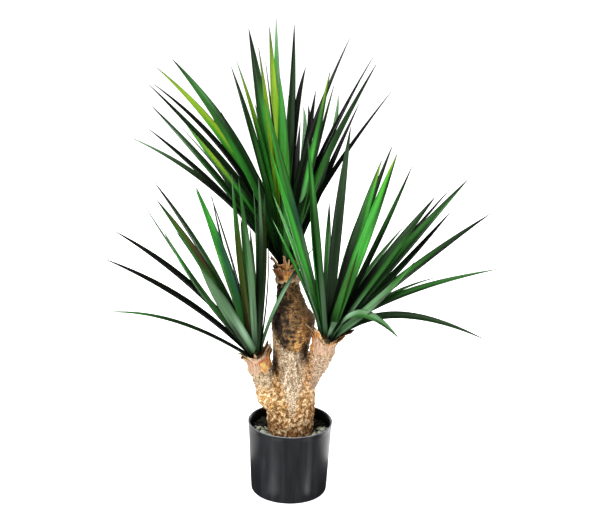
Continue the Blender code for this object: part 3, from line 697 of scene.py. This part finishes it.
def pot_profile():
    """Points (radius, height) from the middle of the bottom, up outside, over the lip and down inside."""
    band = POT_HEIGHT - RIM_DROP
    lip = POT_HEIGHT - LIP_ROUND
    inside = POT_TOP_RADIUS - POT_WALL
    profile = [(0, 0), (POT_BOTTOM_RADIUS - POT_FOOT_RING, 0)]
    profile += rounded((POT_BOTTOM_RADIUS - POT_FOOT_ROUND, POT_FOOT_ROUND), POT_FOOT_ROUND, -90, 0, 8)
    profile += [(pot_radius(z), z) for z in OUTER_RINGS + (band - BEAD_START,)]
    profile += [(pot_radius(band) + 0.5 * RIM_BEAD, band - BEAD_MIDDLE)]
    profile += [(pot_radius(band) + RIM_BEAD, band + BEAD_END)]
    profile += [(POT_TOP_RADIUS, lip - LIP_EDGE)]
    profile += rounded((POT_TOP_RADIUS - LIP_ROUND, lip), LIP_ROUND, 0, 90, 4)
    profile += rounded((inside + LIP_ROUND, lip), LIP_ROUND, 90, 180, 4)
    profile += [(pot_radius(z) - POT_WALL, z) for z in (lip - LIP_EDGE,) + INNER_RINGS + (POT_FLOOR,)]
    return profile + [(0, POT_FLOOR)]


def pot_shade(r, z):
    """Colour of the pot at a point of its profile: a painted highlight on the lip, painted shade inside.
    """
    if z >= POT_HEIGHT - LIP_ROUND:
        return POT_SHADES["lip"]
    if z > POT_FLOOR - INNER_MARGIN and r < pot_radius(z) - INNER_MARGIN:
        return POT_SHADES["inside"]
    return POT_SHADES["outside"]


def make_pot():
    """The pot: its profile turned round its axis."""
    verts, tints = [], []
    profile = pot_profile()
    for r, z in profile:
        verts += circle(Vector((0, 0, z)), max(r, AXIS_RADIUS), POT_SIDES)
        tints += [linear(pot_shade(r, z))] * POT_SIDES
    faces = tube_faces(len(profile), POT_SIDES)
    make_piece("pot", verts, faces, polypropylene(), ["pot"], tints)


# Soil
def soil_height(x, y):
    """Height of the soil's uneven surface: broad humps with clods on them."""
    humps = noise.noise(Vector((x, y, 0)) / SOIL_HUMPS)
    clods = noise.noise(Vector((x, y, 9)) / SOIL_CLODS)
    return SOIL_LEVEL + SOIL_RELIEF * (humps + 0.35 * clods)


def make_soil():
    """The soil: a plug that fills the pot up to its uneven surface, with a socket for the trunk."""
    outer = pot_radius(SOIL_LEVEL) - POT_WALL - SOIL_GAP
    inner = FOOT_RADIUS - SOCKET_INSET
    foot = pot_radius(POT_FLOOR) - POT_WALL - SOIL_FOOT_GAP
    rings = [circle(Vector((0, 0, POT_FLOOR + 1)), foot, SOIL_SIDES)]
    for k in range(SOIL_STEPS + 1):
        ring = circle(Vector((0, 0, 0)), outer + (inner - outer) * k / SOIL_STEPS, SOIL_SIDES)
        rings.append([Vector((p.x, p.y, soil_height(p.x, p.y))) for p in ring])
    rings.append(circle(Vector((0, 0, SOIL_LEVEL - SOCKET_DEPTH)), inner, SOIL_SIDES))
    verts = [p for ring in rings for p in ring]
    make_piece("soil", verts, closed_tube(len(rings), SOIL_SIDES), peat(), ["soil"])


def make_lumps():
    """Loose lumps of moss and grit that cover the soil between the trunk and the pot."""
    draw = random.Random(LUMP_SEED)
    nearest = FOOT_RADIUS + TRUNK_CLEAR
    farthest = pot_radius(SOIL_LEVEL) - POT_WALL - WALL_CLEAR
    ball = bmesh.new()
    bmesh.ops.create_icosphere(ball, subdivisions=2, radius=1)
    corners = [v.co.copy() for v in ball.verts]
    facets = [[v.index for v in f.verts] for f in ball.faces]
    ball.free()
    verts, faces, tints = [], [], []
    for _ in range(LUMP_COUNT):
        turn = draw.uniform(0, 2 * math.pi)
        away = math.sqrt(draw.uniform(nearest ** 2, farthest ** 2))
        size = draw.uniform(*LUMP_SIZES)
        x, y = away * math.cos(turn), away * math.sin(turn)
        middle = Vector((x, y, soil_height(x, y) + LUMP_RISE * size))
        stretch = Vector([draw.uniform(*limits) for limits in LUMP_STRETCH])
        # only lumps in front at the sides keep their pale colour; the dark ones are mostly painted shade
        pale = y < PALE_BEFORE and abs(x) > PALE_BESIDE and draw.random() < PALE_SHARE
        tint = linear(draw.choice(PALE_LUMPS if pale else DARK_AND_SHADED_LUMPS))
        first = len(verts)
        for corner in corners:
            rough = 1 + LUMP_ROUGH * noise.noise(corner * 2.1 + middle)
            verts.append(middle + size * rough * Vector(a * b for a, b in zip(corner, stretch)))
            tints.append(tint)
        faces += [[first + i for i in facet] for facet in facets]
    make_piece("moss_lumps", verts, faces, moss(), tints=tints)


# Trunk
def along(stations, spacing):
    """Points and radii read at even heights from a smooth curve through the stations."""
    rows = [Vector(row) for row in stations]
    rows = [2 * rows[0] - rows[1]] + rows + [2 * rows[-1] - rows[-2]]
    curve = []
    for a, b, c, d in zip(rows, rows[1:], rows[2:], rows[3:]):
        steps = max(1, round((c - b).to_3d().length / spacing))
        for k in range(steps):
            t = k / steps
            curve.append(0.5 * (2 * b + (c - a) * t + (2 * a - 5 * b + 4 * c - d) * t * t
                                + (3 * b - a - 3 * c + d) * t ** 3))
    return curve + [rows[-2]]


def limb(stations, head, sides):
    """Points and faces of one length of cane, ending in the plain cut end that its head grows from."""
    rings = []
    stretch = along(stations, STATION_SPACING)
    if stations is CANE:
        rings.append(circle(Vector((0, 0, SOIL_LEVEL - FOOT_DEPTH)), FOOT_RADIUS, sides))
        rings.append(circle(Vector((0, 0, SOIL_LEVEL + FOOT_RISE)), FOOT_RADIUS, sides))
        stretch = stretch[1:]
    for row in stretch:
        rings.append(circle(row.to_3d(), row[3], sides))
    side = head.lean.cross(Vector((0, 1, 0))).normalized()
    over = head.lean.cross(-side)
    for drop, inset in ((END_LENGTH + END_SHOULDER, 0), (END_LENGTH, END_INSET), (0, END_INSET)):
        rings.append(circle(head.end - head.lean * drop, head.radius - inset, sides, -side, over))
    return [p for ring in rings for p in ring], closed_tube(len(rings), sides)


def grain(p, size, step=Vector()):
    """Noise in grains of a width and height. A step moves it to another part of the pattern."""
    width, height = size
    return noise.noise(Vector((p.x / width, p.y / width, p.z / height)) + step)


def bark_zones(p):
    """How much a point belongs to the neck, the tongue and the stubs, and its x and z with a wander
    that frays their edges."""
    wander = 6 * noise.noise(p / BARK_WANDER) + 3 * noise.noise(p / BARK_FRAY)
    x, z = p.x + 0.6 * wander, p.z + wander
    ledge = LEDGE_LOW + (0.028 if x < LEDGE_MIDDLE else 0.018) * (x - LEDGE_MIDDLE) ** 2
    neck = smooth_step((z - ledge) / 3)
    half = 7 + 24 * smooth_step((z - TONGUE_FOOT) / 120)
    tongue = smooth_step((half - abs(x - 3)) / 18 + 0.3) * smooth_step((z - TONGUE_FOOT) / 30) * (1 - neck)
    beside = smooth_step((abs(x) - 33) / 8)
    stub = beside * smooth_step((z - STUB_FOOT) / 12) * (1 - smooth_step((z - STUB_TOP) / 6))
    return neck, tongue, stub, x, z


def bark_relief(p):
    """How far the bark stands out at a point: broad lumps, rings, upright ridges and flakes."""
    neck, tongue, _, _, z = bark_zones(p)
    lumps = noise.noise(p / BARK_LUMP)
    rings = grain(p, BARK_RINGS, Vector((7, 3, 5)))
    ridges = grain(p, BARK_RIDGES)
    flakes = 1 - 2 * noise.voronoi(Vector((p.x, p.y, p.z * 0.75)) / BARK_FLAKE)[0][0]
    crumbs = noise.noise(p / BARK_CRUMB)
    ledge = 2.2 * neck * (1 - smooth_step((z - LEDGE_LOW - 40) / 30))
    return (1.8 * lumps + (0.5 + 1.0 * neck) * rings + 1.6 * tongue * ridges + (2.1 - 1.3 * neck) * flakes
            + 1.1 * crumbs + ledge - 1.2)


def relief_share(p):
    """How much of its relief the bark has at a point: none at the cut ends, which stay plain."""
    shares = [1.0]
    for head in (TOP, LEFT, RIGHT):
        below = (head.end - p).dot(head.lean) - END_LENGTH - 1
        shares.append(smooth_step(below / 8) + smooth_step((p - head.end).length / 40 - 1))
    return min(shares)


def neck_tint(p, x, z, broad, small, shades):
    """Colour of the neck: umber at the left and brown at the right, with olive patches, umber bands
    and, low at the right, rust and golden flakes. Its darkness, most at the left, is partly its own
    colour and partly painted shade."""
    tint = mix(shades["umber"], shades["brown"], smooth_step((x + 24) / 34 + small))
    tint = mix(tint, shades["rust"], 0.6 * smooth_step((x - 8) / 16) * smooth_step((392 - z) / 14))
    tint = mix(tint, shades["olive"], 0.5 * smooth_step(1.5 * broad + 0.3))
    tint = mix(tint, shades["umber"], 0.5 * smooth_step(1.8 * grain(p, BARK_BANDS)))
    flakes = smooth_step((x + 8) / 20) * smooth_step((372 - z) / 30) * smooth_step(0.45 + 1.8 * small)
    return mix(tint, shades["gold"], 0.95 * flakes)


def bark_tint(p, shades):
    """Colour of the bark at a point: its zone's colours, then painted shade under the ledge and in the
    folds beside the stubs, and the dark gaps between the flakes, which are partly painted shade."""
    neck, tongue, stub, x, z = bark_zones(p)
    broad = noise.noise(p / BARK_PATCH + Vector((4, 9, 1)))
    small, tiny = noise.noise(p / BARK_FLAKE), noise.noise(p / BARK_SPECK)
    tint = mix(shades["foot"], shades["gold"], smooth_step((z - 140) / 70))
    tint = mix(tint, shades["rust"], 0.55 * smooth_step(x / 30) * smooth_step((300 - z) / 60))
    # cream flecks: partly pale fibres, partly painted highlight
    tint = mix(tint, shades["cream"], 0.8 * smooth_step(1.0 * broad + 3.2 * small + 1.4 * tiny))
    streaks = smooth_step(0.5 + 1.6 * grain(p, BARK_STREAKS))
    tint = mix(tint, mix(shades["grey"], shades["ash"], streaks), tongue)
    pale = mix(tint, shades["blush" if x > 0 else "sand"], 0.85)
    tint = mix(tint, pale, stub * smooth_step((z - 222) / 30))
    inner_side = smooth_step((x - 18) / 6) * smooth_step((46 - x) / 8) * smooth_step((z - 235) / 20)
    tint = mix(tint, shades["rust"], 0.5 * inner_side * (1 - smooth_step((z - 312) / 10)))
    tint = mix(tint, neck_tint(p, x, z, broad, small, shades), neck)
    # painted shadow under the ledge
    if neck < 0.02:
        drop = LEDGE_LOW + 0.022 * (x - LEDGE_MIDDLE) ** 2 - z
        tint = mix(tint, shades["umber"], 0.6 * smooth_step(1 - drop / 7))
    # painted shade in the folds beside the stubs
    for side, middle, low, high in STUB_FOLD_SHADE:
        fold = smooth_step(1 - abs(side * x + 6 * tiny - middle) / 9) * smooth_step((z - low) / 14)
        tint = mix(tint, shades["umber"], 0.9 * fold * smooth_step((high - z) / 8))
    # dark gaps between the flakes: partly the bark's own brown, partly painted shade
    pits = smooth_step(-2.4 * small - 1.6 * tiny)
    return mix(tint, shades["umber"], (0.62 - 0.25 * tongue - 0.3 * neck - 0.3 * stub) * pits)[:3] + (1.0,)


def fused_canes():
    """The cane and its stubs fused into one mesh of small even faces, in metres."""
    verts, faces = [], []
    for stations, head, sides in LIMBS:
        points, sheets = limb(stations, head, sides)
        faces += [[len(verts) + i for i in face] for face in sheets]
        verts += points
    mesh = bpy.data.meshes.new("canes")
    mesh.from_pydata([p * MM for p in verts], [], faces)
    canes = bpy.data.objects.new("canes", mesh)
    bpy.context.scene.collection.objects.link(canes)
    remesh = canes.modifiers.new("remesh", "REMESH")
    remesh.mode = "VOXEL"
    remesh.voxel_size = BARK_VOXEL * MM
    soften = canes.modifiers.new("soften", "SMOOTH")
    soften.iterations = BARK_SMOOTHING
    bpy.context.view_layer.update()
    fused = bpy.data.meshes.new_from_object(canes.evaluated_get(bpy.context.evaluated_depsgraph_get()))
    bpy.data.objects.remove(canes)
    return fused


def make_trunk():
    """The trunk: the fused canes with their bark's relief and colours."""
    shades = {name: linear(colour) for name, colour in BARK.items()}
    fused = fused_canes()
    verts, tints = [], []
    for vert in fused.vertices:
        p = vert.co / MM
        verts.append(p + vert.normal * bark_relief(p) * relief_share(p))
        tints.append(bark_tint(p, shades))
    faces = [list(polygon.vertices) for polygon in fused.polygons]
    bpy.data.meshes.remove(fused)
    make_piece("trunk", verts, faces, bark(), ["trunk"], tints)


# Sheaths
def strip_point(head, strip, s, w):
    """A point of a strip's middle sheet, s along it from the foot and w across it, and its spoke."""
    side = Vector((0, 1, 0)).cross(head.lean).normalized()
    over = head.lean.cross(side)
    tear = noise.noise(Vector((5 * w, strip.bearing, 3)))
    ripple = noise.noise(Vector((6 * s, w, strip.bearing)))
    rise = strip.foot + (strip.height - strip.foot) * s
    rise += s * (strip.slant * w + 2 * STRIP_TEAR * (1 - strip.taper) * tear)
    rise -= (1 - s) * STRIP_TEAR * tear
    inset = END_INSET * smooth_step((rise + END_LENGTH) / 4)
    seat = head.radius + STRIP_SEAT - inset * smooth_step((strip.reach - head.radius) / 3)
    bent = max(0.0, (s - strip.bend) / (1 - strip.bend)) ** 1.6
    radius = seat + (strip.reach - seat) * bent + STRIP_BUCKLE * tear + STRIP_RIPPLE * ripple
    half = strip.width / 2 * max(STRIP_POINT, 1 - strip.taper * s ** 1.7) * (1 + 0.12 * ripple)
    turn = math.radians(strip.bearing + strip.lean_aside * s * s) + half * w / radius
    spoke = math.cos(turn) * side + math.sin(turn) * over
    return head.end + radius * spoke + rise * head.lean, spoke


def strip_tint(strip, s, w, outer):
    """Colour of a strip: its tones, with dark streaks, pale torn edges and a darker golden inner face."""
    tint = mix(*tones_around(SHEATH_TONES, strip.tones, s))
    streaks = noise.noise(Vector((9 * w, 1.5 * s, strip.bearing)))
    tint = mix(tint, linear(SHEATH_TONES["d"]), 0.5 * smooth_step(2 * streaks))
    if not outer:
        tint = mix(tint, linear(STRIP_INSIDE), 0.6)
    torn_side = smooth_step((abs(w) - STRIP_EDGE) / (1 - STRIP_EDGE))
    torn_end = smooth_step((s - STRIP_END) / (1 - STRIP_END))
    return mix(tint, linear(SHEATH_TONES["c"]), 0.7 * max(torn_side, torn_end))[:3] + (1.0,)


def make_sheath(head, strips, material):
    """The strips of dry leaf base round one cut end. Each is a flat tube: an outer and an inner skin."""
    verts, faces, tints, places = [], [], [], []
    across = [2 * k / STRIP_ACROSS - 1 for k in range(STRIP_ACROSS + 1)]
    for strip in strips:
        first = len(verts)
        for k in range(STRIP_LENGTHS + 1):
            s = k / STRIP_LENGTHS
            for outer in (False, True):
                for w in across if not outer else across[::-1]:
                    point, spoke = strip_point(head, strip, s, w)
                    skin = STRIP_THICK * (1 - 0.55 * w * w) * (1 - 0.4 * s)
                    verts.append(point + (skin / 2 if outer else -skin / 2) * spoke)
                    tints.append(strip_tint(strip, s, w, outer))
                    places.append((strip.bearing + strip.width / 2 * w, s * (strip.height - strip.foot)))
        faces += closed_tube(STRIP_LENGTHS + 1, 2 * len(across), first)
    name = "sheath_" + head.name
    make_piece(name, verts, faces, material, [name], tints, places)


# Leaves
def growing_point(head):
    """The point over a cut end that the head's leaves spread from."""
    return head.end + head.lean * GROWING_POINT


def blade_curve(head, leaf):
    """Root, middle control point and tip of a leaf's arch, from the growing point, and its side."""
    tip = Vector((leaf.across, leaf.away, leaf.up))
    outward = Vector((tip.x, tip.y, 0)).normalized()
    rise = max(0.0, tip.normalized().z)
    root = head.lean * (ROOT_LOW + ROOT_RISE * rise ** 2) + outward * ROOT_SPREAD * (1 - 0.5 * rise)
    chord = tip - root
    side = outward.cross(UP)
    lift = side.cross(chord).normalized()
    middle = root + leaf.bend * chord + 2 * leaf.arch * lift + Vector((2 * leaf.bow, 0, 0))
    return root, middle, tip, side if side.y >= 0 else -side


def is_cut(leaf):
    """Whether a leaf is a stump that was cut off short."""
    return Vector((leaf.across, leaf.away, leaf.up)).length < CUT_SHORT


def blade_width(leaf, t):
    """Width of a blade at a part of its length: a waist at the root, then full, then a long point."""
    if is_cut(leaf):
        return CUT_ROOT_WIDTH + (1 - CUT_ROOT_WIDTH) * t
    if t < BLADE_WIDEST:
        return BLADE_ROOT_WIDTH + (1 - BLADE_ROOT_WIDTH) * smooth_step(t / BLADE_WIDEST)
    return math.sin(math.pi / 2 * (1 - t) / (1 - BLADE_WIDEST)) ** BLADE_TAPER


def half_tone(tones, t):
    """Colour of one half of a blade at a part of its length."""
    low, high, share = tones_around(TONES, tones, t)
    return mix(low, high, smooth_step(share))


def blade_tint(leaf, u, t, upper):
    """Colour of a blade: its two halves' tones meet at the rib, the lower face and the margins carry
    painted shade, and the tip turns dark brown.
    """
    past_rib = smooth_step((u + RIB_HALF) / (2 * RIB_HALF))
    tint = mix(half_tone(leaf.outer, t), half_tone(leaf.inner, t), past_rib)
    # the lower face is darkened: painted shade
    if not upper:
        tint = mix((0, 0, 0, 1), tint, UNDERSIDE_SHADE)
    # dark margins: painted shade along the edges
    margin = smooth_step((abs(u) - MARGIN_START) / (1 - MARGIN_START))
    tint = mix(tint, mix(tint, linear(TONES["k"]), 0.5), margin)
    return mix(tint, linear(TIP_DARK), smooth_step((t - TIP_START) / (1 - TIP_START)))[:3] + (1.0,)


def blade(head, leaf, draw):
    """Points, faces, colours and flat places of one blade: an upper and a lower skin in each ring."""
    root, middle, tip, side = blade_curve(head, leaf)
    origin = growing_point(head)
    length = (tip - root).length
    last_step = BLADE_STEPS - 1 + BLADE_SHORT
    up_side = 1 if (tip - root).cross(side).z >= 0 else -1
    twist = math.radians(draw.uniform(-BLADE_TWIST, BLADE_TWIST))
    sway, phase = draw.uniform(-BLADE_SWAY, BLADE_SWAY), draw.uniform(0, 2 * math.pi)
    veins = draw.uniform(0, VEIN_RANGE)
    verts, tints, places = [], [], []
    across = [2 * k / BLADE_ACROSS - 1 for k in range(BLADE_ACROSS + 1)]
    for k in range(BLADE_STEPS):
        t = k / last_step
        centre = (1 - t) ** 2 * root + 2 * t * (1 - t) * middle + t * t * tip
        centre += side * sway * math.sin(math.pi * t) * math.sin(BLADE_WAVE * t + phase)
        run = ((1 - t) * (middle - root) + t * (tip - middle)).normalized()
        face = up_side * run.cross(side).normalized()
        turn = math.radians(leaf.turn) + twist * (t - 0.5)
        wide = math.cos(turn) * side + math.sin(turn) * face
        over = math.cos(turn) * face - math.sin(turn) * side
        half = leaf.width / 2 * blade_width(leaf, t)
        fold = 2 * half * BLADE_FOLD * (1 + BLADE_ROOT_FOLD * (1 - t) ** 3)
        thick = BLADE_THICK * (1 - BLADE_THINNING * t)
        for upper in (False, True):
            for u in across if not upper else across[::-1]:
                skin = BLADE_MARGIN + (thick - BLADE_MARGIN) * (1 - u * u)
                rise = -fold * (1 - abs(u) ** BLADE_CHANNEL) + (skin / 2 if upper else -skin / 2)
                slant = CUT_SLANT * u * t * run if is_cut(leaf) else Vector()
                verts.append(origin + centre + half * u * wide + rise * over - slant)
                tints.append(blade_tint(leaf, u, t, upper))
                places.append((veins + half * u, t * length))
    return verts, closed_tube(BLADE_STEPS, 2 * len(across)), tints, places


def make_head(head, leaves, material):
    """All the leaves of one head as one piece."""
    draw = random.Random(head.name)
    verts, faces, tints, places = [], [], [], []
    for leaf in leaves:
        points, sheets, colours, flat = blade(head, leaf, draw)
        faces += [[len(verts) + i for i in face] for face in sheets]
        verts += points
        tints += colours
        places += flat
    name = "leaves_" + head.name
    make_piece(name, verts, faces, material, [name], tints, places)


# Stage
def make_camera():
    """The camera at the photograph's angle: it looks along +Y, tilted down and rolled a little."""
    camera = bpy.data.objects.new("camera", bpy.data.cameras.new("camera"))
    camera.data.lens = CAMERA_LENS
    pitch = Matrix.Rotation(math.radians(90 + CAMERA_PITCH), 4, "X")
    roll = Matrix.Rotation(math.radians(CAMERA_ROLL), 4, "Z")
    camera.matrix_world = Matrix.Translation(CAMERA_PLACE) @ pitch @ roll
    bpy.context.scene.collection.objects.link(camera)
    bpy.context.scene.camera = camera


def make_floor():
    """A plain white floor, which the pot's wall doesn't mirror."""
    mesh = bpy.data.meshes.new("floor")
    half = FLOOR_SIZE / 2
    corners = [(-half, -half, 0), (half, -half, 0), (half, half, 0), (-half, half, 0)]
    mesh.from_pydata(corners, [], [(0, 1, 2, 3)])
    material, _, shader = new_material("matt_white_floor", Roughness=0.9, Emission_Strength=FLOOR_GLOW)
    shader.inputs["Base Color"].default_value = linear("ececea")
    shader.inputs["Emission Color"].default_value = linear("ffffff")
    mesh.materials.append(material)
    floor = bpy.data.objects.new("floor", mesh)
    floor.visible_glossy = False
    bpy.context.scene.collection.objects.link(floor)


def softbox(name, place, target, size, power):
    """A rectangular lamp that the camera doesn't see."""
    light = bpy.data.lights.new(name, "AREA")
    light.shape = "RECTANGLE"
    light.size, light.size_y = size
    light.energy = power
    obj = bpy.data.objects.new(name, light)
    obj.location = place
    obj.visible_camera = False
    obj.rotation_euler = (Vector(target) - Vector(place)).to_track_quat("-Z", "Y").to_euler()
    bpy.context.scene.collection.objects.link(obj)


def make_light():
    """A plain white studio: an even sky, the softboxes, and a view with more contrast."""
    world = bpy.data.worlds.new("studio")
    bpy.context.scene.world = world
    world.use_nodes = True
    world.node_tree.nodes["Background"].inputs["Color"].default_value = linear("ffffff")
    world.node_tree.nodes["Background"].inputs["Strength"].default_value = SKY_STRENGTH
    world.cycles_visibility.glossy = False
    for name, place, target, size, power in SOFTBOXES:
        softbox(name, place, target, size, power)
    bpy.context.scene.view_settings.view_transform = "Standard"
    bpy.context.scene.view_settings.look = "Medium High Contrast"


make_pot()
make_soil()
make_lumps()
make_trunk()
paper = dry_leaf_base()
make_sheath(TOP, TOP_SHEATH, paper)
make_sheath(LEFT, LEFT_SHEATH, paper)
make_sheath(RIGHT, RIGHT_SHEATH, paper)
leaf_skin = yucca_leaf()
make_head(TOP, TOP_LEAVES + TOP_FAR, leaf_skin)
make_head(LEFT, LEFT_LEAVES + LEFT_FAR, leaf_skin)
make_head(RIGHT, RIGHT_LEAVES + RIGHT_FAR, leaf_skin)
make_camera()
make_floor()
make_light()
